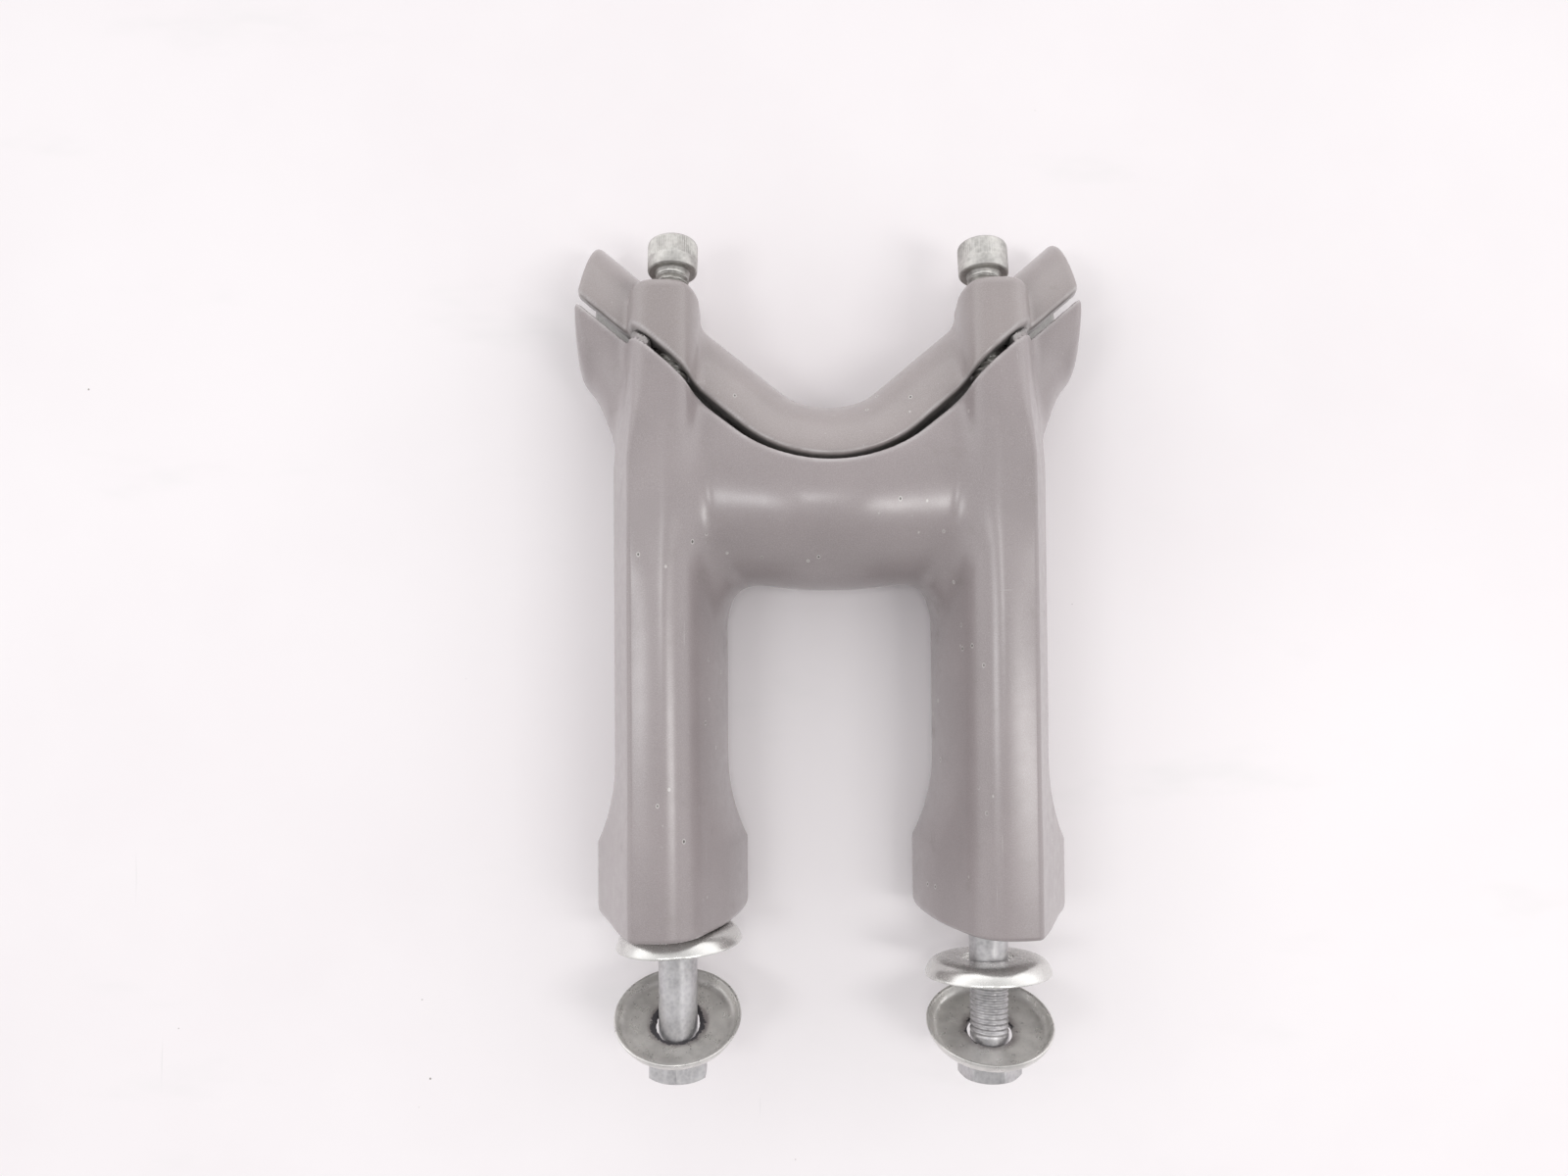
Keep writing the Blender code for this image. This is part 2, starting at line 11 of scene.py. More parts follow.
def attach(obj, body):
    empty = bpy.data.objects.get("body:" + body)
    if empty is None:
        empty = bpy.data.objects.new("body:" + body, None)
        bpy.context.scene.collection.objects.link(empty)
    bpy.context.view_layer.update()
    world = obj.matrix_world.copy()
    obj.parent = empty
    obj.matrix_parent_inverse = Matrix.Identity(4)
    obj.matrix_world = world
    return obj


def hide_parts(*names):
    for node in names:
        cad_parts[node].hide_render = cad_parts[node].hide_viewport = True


# sizes in millimetres, as in the CAD
MM = 0.001
FEET_Y = -76.8  # where the legs end, in the frame
BOLT_X = 44.45  # each bolt and clamp screw, from the middle
AXIS_Z = 29.2  # the bolts' axes, above the table
BAR_ALONG = 126.8  # the handlebar's axis, from the feet
LEAN = math.radians(14.5)  # the saddle leans back from the legs
ARM = math.radians(41.5)  # the bar's arms rise from its middle
BEND = 38.0  # radius of the bar's bend
CHANNEL = 12.85  # radius of the bar's channel
GAP = 1.4  # parting gap between the two castings
WING_END = 72.8  # the riser's wings, from the middle
LEG_FRONT = 22.0  # from the bolts' axes
FOOT_TOP, FOOT_FLARE = 47.0, 25.0
NECK_START, NECK_END = 128.0, 158.0
CROSSBAR_ALONG, CROSSBAR_END = 119.0, 46.0
BOSS_FRONT = 29.0
BOSS_TOP = 50.0  # above the bar's axis, along the screws
PAD_X, PAD_HALF, PAD_BACK = 52.5, 3.0, 13.6  # spacer pads in the parting gap
PAD_PLAY = 0.35  # left between a pad and the clamp
SCREW_FORWARD = 19.0  # the screws, in front of the bar's axis
SCREW_R, SCREW_LEN = 4.7625, 38.1
THREAD_FLOOR = 10.7
BOLT_R, BOLT_LEN = 5.55625, 88.9
WASHER_PLAY = 1.75  # round the bolt
WASHER_STOCK = 1.5
FULL_CIRCLE = 6.28  # span of the angles drawn at random
COS, SIN = math.cos(LEAN), math.sin(LEAN)

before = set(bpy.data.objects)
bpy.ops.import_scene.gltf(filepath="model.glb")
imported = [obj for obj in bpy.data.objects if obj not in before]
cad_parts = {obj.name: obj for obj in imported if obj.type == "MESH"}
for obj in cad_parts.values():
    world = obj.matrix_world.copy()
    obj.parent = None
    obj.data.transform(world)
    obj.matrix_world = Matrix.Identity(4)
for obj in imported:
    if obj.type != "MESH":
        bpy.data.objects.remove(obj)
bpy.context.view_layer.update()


# ---- fields: distance-like functions in millimetres, negative inside ----------------------
def step(x, start, end):
    """0 before start and 1 after end, smooth between; start may be the higher one."""
    t = np.clip((x - start) / (end - start), 0.0, 1.0)
    return t * t * (3 - 2 * t)


def mix(a, b, t):
    return a + (b - a) * t


def smax(a, b, k):
    """The larger of two fields, rounded over a width of k."""
    h = np.maximum(k - np.abs(a - b), 0.0) / k
    return np.maximum(a, b) + h * h * k * 0.25


def smin(a, b, k):
    return -smax(-a, -b, k)


def egg(outward, forward, up, front, down, back):
    """An oval with a radius of its own in each of the four directions."""
    ro = np.where(outward >= 0, up, down)
    rf = np.where(forward >= 0, front, back)
    k0 = np.sqrt((outward / ro) ** 2 + (forward / rf) ** 2)
    k1 = np.sqrt((outward / ro ** 2) ** 2 + (forward / rf ** 2) ** 2)
    return k0 * (k0 - 1.0) / np.maximum(k1, 1e-6)


def clamp_coords(p):
    """How far a point is up along the screws and in front of the bar's axis."""
    dy = p[1] - FEET_Y - BAR_ALONG
    dz = p[2] - AXIS_Z
    return dy * COS - dz * SIN, dy * SIN + dz * COS


def path_coords(side, up):
    """Where on the bar's path a point is (as an x), and how far it is outward of the path."""
    angle = np.arctan2(side, BEND - up)
    on_arc = angle <= ARM
    arc_out = BEND - np.hypot(side, BEND - up)
    px, py = BEND * math.sin(ARM), BEND * (1 - math.cos(ARM))
    along = (side - px) * math.cos(ARM) + (up - py) * math.sin(ARM)
    line_out = (up - py) * math.cos(ARM) - (side - px) * math.sin(ARM)
    x = np.where(on_arc, BEND * np.sin(np.clip(angle, 0, ARM)), px + along * math.cos(ARM))
    return x, np.where(on_arc, arc_out, line_out)


def leg_field(side, along, fwd):
    """A leg with its flared foot; above, it narrows to the boss round the clamp screw."""
    u = side - BOLT_X
    foot = np.clip((FOOT_TOP - along) / FOOT_FLARE, 0.0, 1.0) ** 2
    neck = step(along, NECK_START, NECK_END)
    boss_front = BOSS_FRONT / COS - math.tan(LEAN) * (along - BAR_ALONG)
    blended = (LEG_FRONT + boss_front - np.hypot(LEG_FRONT - boss_front, 4.0)) / 2 + 0.7
    front = np.minimum(blended, LEG_FRONT + 0.4)

    def section(at_leg, at_foot, at_boss):
        return mix(mix(at_leg, at_foot, foot), at_boss, neck)

    def plane(u0, h0, u1, h1):
        du, dh = u1 - u0, h1 - h0
        return ((fwd - h0) * du - (u - u0) * dh) / np.hypot(du, dh)

    outer = section(17.6, 24.2, 12.3)
    inner = section(-14.8, -20.5, -7.6)
    flat_outer = section(11.0, 11.0, 8.2)
    flat_inner = section(-4.5, -4.5, -3.6)
    back = section(20.0, AXIS_Z, 10.0)
    side_outer = section(3.0, -8.0, front - 6.0)
    side_inner = section(0.0, -12.0, front - 6.0)
    low = section(-11.5, -19.0, -5.0)
    back_outer = section(13.0, 16.0, 9.0)
    back_inner = section(-9.0, -10.0, -5.0)

    # the front is slightly crowned across; the other faces are flat and rounded together
    crown = np.minimum((u - 3.2) ** 2 / 72.0, 1.6) * (1 - step(along, 88.0, 118.0))
    d = fwd - front + crown * (1 - 0.7 * neck)
    for face, k in (
            (plane(flat_outer, front, outer, side_outer), mix(1.1, 3.0, neck)),
            (u - outer, mix(1.2, 3.0, neck)),
            (plane(outer, low, back_outer, -back), 2.0),
            (-fwd - back, 3.0),
            (plane(back_inner, -back, inner, low), 3.0),
            (inner - u, 2.0),
            (plane(inner, side_inner, flat_inner, front), mix(6.5, 3.6, neck))):
        d = smax(d, face, k)
    return d


def riser_field(p):
    """Saddle, crossbar and legs blended into one casting, then parted, bored and drilled."""
    side = np.abs(p[0])
    along = p[1] - FEET_Y
    fwd = p[2] - AXIS_Z
    up, out_front = clamp_coords(p)
    x, out = path_coords(side, up)

    front = mix(mix(19.0, 17.6, step(x, 12.0, 34.0)), 16.8, step(x, 34.0, 60.0))
    down = mix(24.0, 15.2, step(x, 42.0, 61.0))
    back = mix(18.0, 15.0, step(x, 10.0, 45.0))
    saddle = egg(out, out_front, 18.0, front, down, back)
    saddle = smax(saddle, side - WING_END, mix(1.6, 3.6, step(-out, 1.0, 11.0)))

    front = mix(20.4, 17.2, step(side, 6.0, 31.0))
    down = mix(23.0, 21.8, step(side, 4.0, 22.0))
    crossbar = egg(along - CROSSBAR_ALONG, fwd + 1.0, 23.0, front, down, 20.5)
    crossbar = smax(crossbar, side - CROSSBAR_END, 1.0)

    # wide fillets where the crossbar meets the legs below, narrow ones at the bosses
    corner = (1 - step(along, 88.0, 108.0)) * (1 - step(side, 30.0, 38.0))
    corner = corner * (1 - step(fwd, 4.0, 18.0))
    fillet = mix(mix(7.5, 14.5, corner), 4.0, step(along, 105.0, 140.0))
    body = smin(smin(saddle, crossbar, 14.0), leg_field(side, along, fwd), fillet)
    toe = np.abs(side - BOLT_X - 1.0)
    body = smax(body, -along, mix(1.0, 4.2, step(toe, 13.0, 21.0)))
    body = smax(body, -fwd - AXIS_Z, 0.8)

    cut = out + GAP / 2
    slab = np.maximum(out - (GAP / 2 - PAD_PLAY), -out - 4.0)
    pad = np.maximum(np.abs(x - PAD_X) - PAD_HALF, PAD_BACK - out_front)
    pad = np.maximum(smax(pad, slab, 0.4), body + 0.9)
    body = smax(body, cut, 0.5)
    body = smax(body, (body + cut) * 0.7071 + 0.95, 0.9)
    body = np.minimum(body, pad)

    body = smax(body, CHANNEL - np.hypot(out, out_front), 0.7)
    screw = np.hypot(side - BOLT_X, out_front - SCREW_FORWARD) - (SCREW_R + 0.2)
    body = smax(body, -np.maximum(screw, THREAD_FLOOR - up), 0.2)
    bolt = np.hypot(side - BOLT_X, fwd) - (BOLT_R + 0.3)
    return smax(body, -np.maximum(bolt, along - 60.0), 0.8)


def clamp_field(p):
    """The clamp: the other half of the saddle, with the bosses that continue the legs."""
    side = np.abs(p[0])
    along = p[1] - FEET_Y
    fwd = p[2] - AXIS_Z
    up, out_front = clamp_coords(p)
    x, out = path_coords(side, up)

    boss = smax(leg_field(side, along, fwd), up - BOSS_TOP, 3.2)
    high = mix(mix(21.2, 20.0, step(x, 4.0, 30.0)), 20.4, step(x, 60.0, 84.0))
    front = mix(19.0, 16.8, step(x, 34.0, 60.0))
    back = mix(18.0, 15.0, step(x, 10.0, 45.0))
    saddle = egg(out, out_front, high, front, 18.0, back)
    wing_end = (side - 72.4) * 0.985 + (up - 51.7) * 0.172  # a plane, leaning 10 degrees
    body = smin(smax(saddle, wing_end, 2.4), boss, 2.6)
    body = smax(body, GAP / 2 - out, 1.7)

    body = smax(body, CHANNEL - np.hypot(out, out_front), 0.7)
    hole = np.hypot(side - BOLT_X, out_front - SCREW_FORWARD) - (SCREW_R + 0.42)
    hole = np.minimum(hole, smax(hole - 0.7, BOSS_TOP - 0.7 - up, 0.3))
    return smax(body, -hole, 0.4)


# ---- meshing -----------------------------------------------------------------------------
def sample(field, low, counts, cell):
    """The field on a grid; only the half with x >= 0 is worked out, and the rest mirrored."""
    half = counts[0] // 2 + 1
    xs = np.arange(half) * cell
    ys = low[1] + np.arange(counts[1]) * cell
    zs = low[2] + np.arange(counts[2]) * cell
    out = np.empty((half, counts[1], counts[2]), np.float32)
    rows = 24  # worked out at a time, to spare memory
    for a in range(0, counts[1], rows):
        b = min(counts[1], a + rows)
        px, py, pz = np.meshgrid(xs, ys[a:b], zs, indexing="ij")
        out[:, a:b] = field((px.ravel(), py.ravel(), pz.ravel())).reshape(px.shape)
    return np.concatenate([out[:0:-1], out], axis=0)


def surface_nets(values, origin, cell):
    """One point in each cell that the surface crosses, joined by quads."""
    inside = values < 0
    shape = np.array(values.shape) - 1
    count = np.zeros(shape, np.uint8)
    for i in (0, 1):
        for j in (0, 1):
            for k in (0, 1):
                count += inside[i:i + shape[0], j:j + shape[1], k:k + shape[2]]
    active = np.argwhere((count > 0) & (count < 8))
    index = np.full(shape, -1, np.int64)
    index[tuple(active.T)] = np.arange(len(active))
    offsets = [(i, j, k) for i in (0, 1) for j in (0, 1) for k in (0, 1)]
    corner = np.stack([values[tuple((active + o).T)] for o in offsets], 1).astype(float)
    total = np.zeros((len(active), 3))
    hits = np.zeros(len(active))
    for a in range(8):
        for b in range(a + 1, 8):
            oa, ob = np.array(offsets[a]), np.array(offsets[b])
            if np.abs(oa - ob).sum() != 1:
                continue
            va, vb = corner[:, a], corner[:, b]
            cross = (va < 0) != (vb < 0)
            t = np.where(cross, va / np.where(cross, va - vb, 1.0), 0.0)
            total += np.where(cross[:, None], oa + (ob - oa) * t[:, None], 0.0)
            hits += cross
    points = (active + total / hits[:, None]) * cell + origin
    quads = []
    for axis in range(3):
        u, v = (axis + 1) % 3, (axis + 2) % 3
        low = [slice(None)] * 3
        high = [slice(None)] * 3
        low[axis], high[axis] = slice(0, -1), slice(1, None)
        a_in, b_in = inside[tuple(low)], inside[tuple(high)]
        edges = np.argwhere(a_in != b_in)
        edges = edges[(edges[:, u] > 0) & (edges[:, v] > 0)
                      & (edges[:, u] < shape[u]) & (edges[:, v] < shape[v])]
        ids = []
        for du, dv in ((-1, -1), (0, -1), (0, 0), (-1, 0)):
            cells = edges.copy()
            cells[:, u] += du
            cells[:, v] += dv
            ids.append(index[tuple(cells.T)])
        ids = np.stack(ids, 1)
        flip = ~a_in[tuple(edges.T)]
        ids[flip] = ids[flip][:, ::-1]
        quads.append(ids)
    return points, np.concatenate(quads)


def gradient(field, points, h):
    """The field's slope at each point, by central differences of h."""
    p = points.T
    g = np.empty_like(p)
    for i in range(3):
        a, b = p.copy(), p.copy()
        a[i] += h
        b[i] -= h
        g[i] = (field(a) - field(b)) / (2 * h)
    return g.T


def mesh_from_field(name, field, low, high, cell):
    """The field's surface as an object, with points on it and normals from its slope."""
    half = math.ceil(max(abs(low[0]), abs(high[0])) / cell)
    counts = [2 * half + 1] + [math.ceil((high[i] - low[i]) / cell) + 1 for i in (1, 2)]
    origin = np.array([-half * cell, low[1], low[2]])
    values = sample(field, origin, counts, cell)
    points, quads = surface_nets(values, origin, cell)
    # steps along the slope to the true surface, none longer than 0.4 of a cell
    for _ in range(4):
        value = field(points.T)
        slope = gradient(field, points, 0.02)
        size = np.maximum((slope ** 2).sum(1), 0.09)
        move = slope * (value / size)[:, None]
        length = np.linalg.norm(move, axis=1, keepdims=True)
        points = points - move * np.minimum(1.0, 0.4 * cell / np.maximum(length, 1e-9))
    normals = gradient(field, points, 0.06)
    normals /= np.maximum(np.linalg.norm(normals, axis=1, keepdims=True), 1e-9)
    mesh = bpy.data.meshes.new(name)
    mesh.vertices.add(len(points))
    mesh.vertices.foreach_set("co", (points * MM).astype(np.float32).ravel())
    mesh.loops.add(len(quads) * 4)
    mesh.loops.foreach_set("vertex_index", quads.astype(np.int32).ravel())
    mesh.polygons.add(len(quads))
    mesh.polygons.foreach_set("loop_start", np.arange(len(quads), dtype=np.int32) * 4)
    mesh.update(calc_edges=True)
    mesh.validate()
    mesh.polygons.foreach_set("use_smooth", np.ones(len(mesh.polygons), bool))
    mesh.normals_split_custom_set_from_vertices(normals.tolist())
    ob = bpy.data.objects.new(name, mesh)
    bpy.context.scene.collection.objects.link(ob)
    return ob, points


def set_attribute(ob, name, values):
    """A number per point, for the materials to read."""
    layer = ob.data.attributes.new(name, "FLOAT", "POINT")
    layer.data.foreach_set("value", np.asarray(values, np.float32))


def surface_masks(points):
    """1 where the casting is machined and bare, and how far each point is from the parting."""
    p = points.T
    up, out_front = clamp_coords(p)
    _, out = path_coords(np.abs(p[0]), up)
    inside_bar = 1 - step(np.hypot(out, out_front), CHANNEL + 0.05, CHANNEL + 0.5)
    lip = 1 - step(np.abs(out), GAP / 2 + 0.03, GAP / 2 + 0.2)
    return np.clip(inside_bar + lip * 0.75, 0, 1), out


def line_mask(out, where, width):
    """A soft line on a casting, this far from the parting."""
    return np.exp(-((out - where) / width) ** 2)


# ---- turned hardware ---------------------------------------------------------------------
def ring_mesh(name, rings, count, matrix, closed=False):
    """Skin of rings round +Y. A ring is its radius, or a function of angle, and its height."""
    angles = 2 * math.pi * np.arange(count) / count
    rows = []
    for radius, height in rings:
        r = radius(angles) if callable(radius) else np.full(count, float(radius))
        y = np.full(count, float(height))
        rows.append(np.stack([r * np.cos(angles), y, r * np.sin(angles)], 1) * MM)
    bm = bmesh.new()
    table = []
    for row in rows:
        if np.abs(row[:, [0, 2]]).max() < 1e-9:
            table.append([bm.verts.new(matrix @ Vector(row[0]))])
        else:
            table.append([bm.verts.new(matrix @ Vector(v)) for v in row])
    pairs = list(zip(table, table[1:]))
    if closed:
        pairs.append((table[-1], table[0]))
    for low, high in pairs:
        for k in range(count):
            j = (k + 1) % count
            if len(low) == 1:
                bm.faces.new((low[0], high[j], high[k]))
            elif len(high) == 1:
                bm.faces.new((low[k], low[j], high[0]))
            else:
                bm.faces.new((low[k], low[j], high[j], high[k]))
    bmesh.ops.recalc_face_normals(bm, faces=bm.faces)
    for face in bm.faces:
        face.smooth = True
    for edge in bm.edges:
        if len(edge.link_faces) == 2 and edge.calc_face_angle(0.0) > math.radians(32):
            edge.smooth = False
    mesh = bpy.data.meshes.new(name)
    bm.to_mesh(mesh)
    bm.free()
    ob = bpy.data.objects.new(name, mesh)
    bpy.context.scene.collection.objects.link(ob)
    return ob


def thread_rings(major, pitch, start, end, depth, fade=1.2, steps=10):
    """Rings of a helical 60 degree thread from start to end, fading out at both."""
    rings = []
    n = max(2, int(abs(end - start) / pitch * steps))
    for k in range(n + 1):
        y = start + (end - start) * k / n
        near = min(abs(y - start), abs(y - end)) / (fade * pitch)
        deep = depth * min(1.0, near)

        def radius(a, y=y, deep=deep):
            phase = (y / pitch - a / (2 * math.pi)) % 1.0
            tooth = np.abs(2 * phase - 1)
            tooth = np.clip((tooth - 0.12) / 0.72, 0, 1)
            return major - deep * tooth

        rings.append((radius, y))
    return rings


def hexagon(across_flats, turn, trimmed):
    """Radius of a hexagon by angle, with its corners trimmed by this much."""
    def radius(a):
        b = (a - turn) % (math.pi / 3) - math.pi / 6
        return np.minimum(across_flats / 2 / np.cos(b), across_flats / math.sqrt(3) - trimmed)

    return radius


def clamp_frame_matrix():
    """From the clamp's own axes, with the screws along Y, to the frame."""
    place = Matrix.Translation((0, (FEET_Y + BAR_ALONG) * MM, AXIS_Z * MM))
    return place @ Matrix.Rotation(-LEAN, 4, "X")


def screw_mesh(name, side, proud, knurl):
    """A socket head screw whose knurled head stands this proud of its boss."""
    place = clamp_frame_matrix() @ Matrix.Translation(
        (side * BOLT_X * MM, (BOSS_TOP + proud) * MM, SCREW_FORWARD * MM))
    head_r, head_h, socket, socket_floor = 7.14375, 9.525, 7.9375, 5.0
    teeth = 62

    def knurled(base, amount):
        def radius(a):
            ridge = np.abs((a * teeth / (2 * math.pi)) % 1 * 2 - 1) - 0.5
            return base - 0.11 + amount * ridge * 0.2

        return radius

    rings = [(0.0, -SCREW_LEN), (SCREW_R - 1.3, -SCREW_LEN), (SCREW_R - 0.55, -SCREW_LEN + 0.9)]
    rings += thread_rings(SCREW_R - 0.02, 1.5875, -SCREW_LEN + 1.2, -0.9, 0.95)
    rings += [
        (SCREW_R - 0.25, -0.6), (SCREW_R - 0.05, -0.3), (SCREW_R + 0.25, -0.02),
        (head_r - 1.0, 0.0), (head_r - 0.55, 0.06), (head_r - 0.2, 0.35), (head_r - 0.06, 0.8),
        (head_r - 0.03, 3.3), (knurled(head_r, 0.25), 3.6), (knurled(head_r, knurl), 4.0),
        (knurled(head_r, knurl), 8.3), (knurled(head_r - 0.05, knurl * 0.7), 8.6),
        (head_r - 0.28, 8.95), (head_r - 0.62, 9.3), (head_r - 1.05, 9.48), (head_r - 1.5, head_h),
        (5.1, head_h), (4.85, head_h - 0.04), (hexagon(socket + 0.35, 0.0, 0.15), head_h - 0.3),
        (hexagon(socket, 0.0, 0.1), head_h - 0.65),
        (hexagon(socket, 0.0, 0.1), head_h - socket_floor + 0.1),
        (hexagon(socket - 0.5, 0.0, 0.1), head_h - socket_floor),
        (1.2, head_h - socket_floor - 0.9), (0.0, head_h - socket_floor - 1.0),
    ]
    return ring_mesh(name, rings, 248, place)


def bolt_mesh(name, side, out, turn, worn_thread):
    """A hex bolt whose head's seat is this far out from the foot."""
    place = Matrix.Translation((side * BOLT_X * MM, (FEET_Y - out) * MM, AXIS_Z * MM))
    across_flats, h = 15.875, 7.3
    shank = BOLT_R - 0.02
    hexa = hexagon(across_flats, turn, 0.12)

    def crowned(height):
        """The hexagon at this height, trimmed by the cone that crowns the head."""
        limit = across_flats / 2 - 0.25 + (height + h) / math.tan(math.radians(28))
        return lambda a: np.minimum(hexa(a), limit)

    rings = [(0.0, -h + 0.35), (5.2, -h + 0.35), (5.6, -h + 0.12), (6.6, -h + 0.02), (7.3, -h)]
    for height in (-h + 0.02, -h + 0.15, -h + 0.3, -h + 0.5, -h + 0.75, -h + 1.0):
        rings.append((crowned(height), height))
    rings += [(hexa, -h + 1.4), (hexa, -1.1),
              (lambda a: np.minimum(hexa(a), 8.95), -0.75), (lambda a: np.minimum(hexa(a), 8.5), -0.5),
              (lambda a: np.minimum(hexa(a), 7.75), -0.4), (7.6, -0.38), (7.5, -0.04), (7.35, 0.0),
              (BOLT_R + 0.5, 0.0), (BOLT_R + 0.1, 0.2), (shank, 0.7)]
    plain = (4.0, 10.0, 18.0, 26.0, 34.0, 44.0, 52.0)
    if worn_thread:
        low, high = worn_thread
        rings += [(shank, low - 0.5)]
        rings += thread_rings(shank, 1.5, low, high, 0.42, steps=12)
        plain = (high + 0.6, 34.0, 44.0, 52.0)
    rings += [(shank, y) for y in plain]
    rings += thread_rings(shank, 1.814, 55.0, BOLT_LEN - 1.6, 1.05, steps=8)
    rings += [(BOLT_R - 0.9, BOLT_LEN - 0.5), (BOLT_R - 1.3, BOLT_LEN), (0.0, BOLT_LEN)]
    return ring_mesh(name, rings, 192, place)


def washer_centre(side, floor, drop):
    """Where a washer's floor is: this far past the foot's end and below the bolt's axis."""
    return Vector((side * BOLT_X * MM, (FEET_Y + floor) * MM, (AXIS_Z - drop) * MM))


def washer_mesh(name, side, floor, facing, drop, tilt_x, tilt_z, seed, close=None):
    """A cup washer, slightly dented; close says how its hole is closed in by rubber."""
    place = Matrix.Translation(washer_centre(side, floor, drop))
    place = place @ Matrix.Rotation(tilt_z, 4, "Z") @ Matrix.Rotation(tilt_x, 4, "X")
    if facing < 0:
        place = place @ Matrix.Rotation(math.pi, 4, "X")
    hole, rim, stock, height = BOLT_R + WASHER_PLAY, 18.15, WASHER_STOCK, 4.8
    rng = np.random.default_rng(seed)
    dents = [(rng.uniform(0, FULL_CIRCLE), rng.uniform(0.05, 0.12)) for _ in range(4)]
    lumps = [rng.uniform(0, FULL_CIRCLE) for _ in range(4)]

    def dented(base, amount):
        def radius(a):
            r = np.full_like(a, base)
            for where, size in dents:
                gap = np.abs((a - where + math.pi) % (2 * math.pi) - math.pi)
                r -= amount * size * np.exp(-(gap / 0.22) ** 2)
            return r

        return radius

    def closed_in(base):
        """The hole's rim, where remains of a rubber bush close it in beside the shank."""
        narrow, wide, ragged = close

        def radius(a):
            rough = sum(np.sin(a * n + p) for n, p in zip((5, 9, 14, 23), lumps)) / 4
            return narrow + (wide - narrow) * np.sin(a) ** 2 + (base - hole) + ragged * rough

        return radius

    outline = [
        (hole + 0.12, 0.04), (hole + 0.3, 0.0), (9.4, 0.0), (12.0, 0.0), (13.4, 0.06),
        (14.6, 0.25), (15.6, 0.62), (16.4, 1.15), (17.0, 1.8), (17.45, 2.55), (17.8, 3.3),
        (18.05, 3.95), (rim, 4.35), (18.1, 4.62), (17.95, 4.76), (17.7, height), (17.45, 4.74),
        (17.25, 4.55), (17.1, 4.25), (16.85, 3.6), (16.5, 2.9), (16.1, 2.35), (15.6, 1.95),
        (15.0, 1.68), (14.3, 1.53), (13.4, stock), (11.2, 1.4), (9.2, 1.42), (8.1, stock),
        (hole + 0.35, stock + 0.04), (hole + 0.1, stock - 0.08), (hole, stock - 0.3), (hole, 0.3),
    ]
    rings = []
    for r, y in outline:
        if close and r < hole + 0.5:
            rings.append((closed_in(r), y))
        else:
            rings.append((dented(r, 1.0 if r > 14 else 0.0), y))
    return ring_mesh(name, rings, 144, place, closed=True)


def gum_and_shade_mask(ob, centre, tilt, strength):
    """How much rubber and painted shade there is at each point: most at the hole's rim, none 2.4 mm
    beyond it.
    """
    axis = Matrix.Rotation(tilt, 3, "X") @ Vector((0, 1, 0))
    gum_and_shade = []
    for v in ob.data.vertices:
        away = v.co - centre
        radial = (away - axis * away.dot(axis)).length / MM
        gum_and_shade.append(max(0.0, 1.0 - max(0.0, radial - 7.2) / 2.4) * strength)
    return gum_and_shade


# ---- materials ---------------------------------------------------------------------------
class Nodes:
    """Short names for building a node tree."""

    def __init__(self, name):
        self.mat = bpy.data.materials.new(name)
        self.mat.use_nodes = True
        self.tree = self.mat.node_tree
        self.shader = self.tree.nodes["Principled BSDF"]
        self.coords = self.add("ShaderNodeTexCoord").outputs["Object"]

    def add(self, kind, **settings):
        node = self.tree.nodes.new(kind)
        for key, value in settings.items():
            setattr(node, key, value)
        return node

    def link(self, a, b):
        self.tree.links.new(a, b)

    def put(self, socket, value):
        if isinstance(value, bpy.types.NodeSocket):
            self.link(value, socket)
        else:
            socket.default_value = value

    def stretch(self, scale, turn=(0, 0, 0)):
        node = self.add("ShaderNodeMapping")
        self.link(self.coords, node.inputs["Vector"])
        node.inputs["Scale"].default_value = scale
        node.inputs["Rotation"].default_value = turn
        return node.outputs["Vector"]

    def noise(self, scale, detail, rough, vector=None):
        node = self.add("ShaderNodeTexNoise")
        self.link(vector or self.coords, node.inputs["Vector"])
        node.inputs["Scale"].default_value = scale
        node.inputs["Detail"].default_value = detail
        node.inputs["Roughness"].default_value = rough
        return node.outputs["Fac"]

    def cells(self, scale, vector=None):
        node = self.add("ShaderNodeTexVoronoi")
        self.link(vector or self.coords, node.inputs["Vector"])
        node.inputs["Scale"].default_value = scale
        return node.outputs["Distance"]

    def ramp(self, value, low, high, a=0.0, b=1.0):
        node = self.add("ShaderNodeMapRange", interpolation_type="SMOOTHSTEP")
        self.put(node.inputs["Value"], value)
        node.inputs["From Min"].default_value = low
        node.inputs["From Max"].default_value = high
        node.inputs["To Min"].default_value = a
        node.inputs["To Max"].default_value = b
        return node.outputs["Result"]

    def math(self, op, a, b):
        node = self.add("ShaderNodeMath", operation=op)
        for socket, value in zip(node.inputs, (a, b)):
            self.put(socket, value)
        return node.outputs[0]

    def blend(self, fac, a, b):
        node = self.add("ShaderNodeMix", data_type="RGBA")
        self.put(node.inputs["Factor"], fac)
        for socket, value in ((node.inputs[6], a), (node.inputs[7], b)):
            self.put(socket, (*value, 1.0) if isinstance(value, tuple) else value)
        return node.outputs[2]

    def attribute(self, name):
        return self.add("ShaderNodeAttribute", attribute_name=name).outputs["Fac"]

    def bump(self, height, distance, strength):
        node = self.add("ShaderNodeBump")
        node.inputs["Distance"].default_value = distance
        node.inputs["Strength"].default_value = strength
        self.put(node.inputs["Height"], height)
        return node.outputs["Normal"]

    def finish(self, colour, rough, metal, normal, **constants):
        self.put(self.shader.inputs["Base Color"], colour)
        self.put(self.shader.inputs["Roughness"], rough)
        self.put(self.shader.inputs["Metallic"], metal)
        if normal:
            self.link(normal, self.shader.inputs["Normal"])
        for key, value in constants.items():
            self.shader.inputs[key.replace("_", " ")].default_value = value
        return self.mat


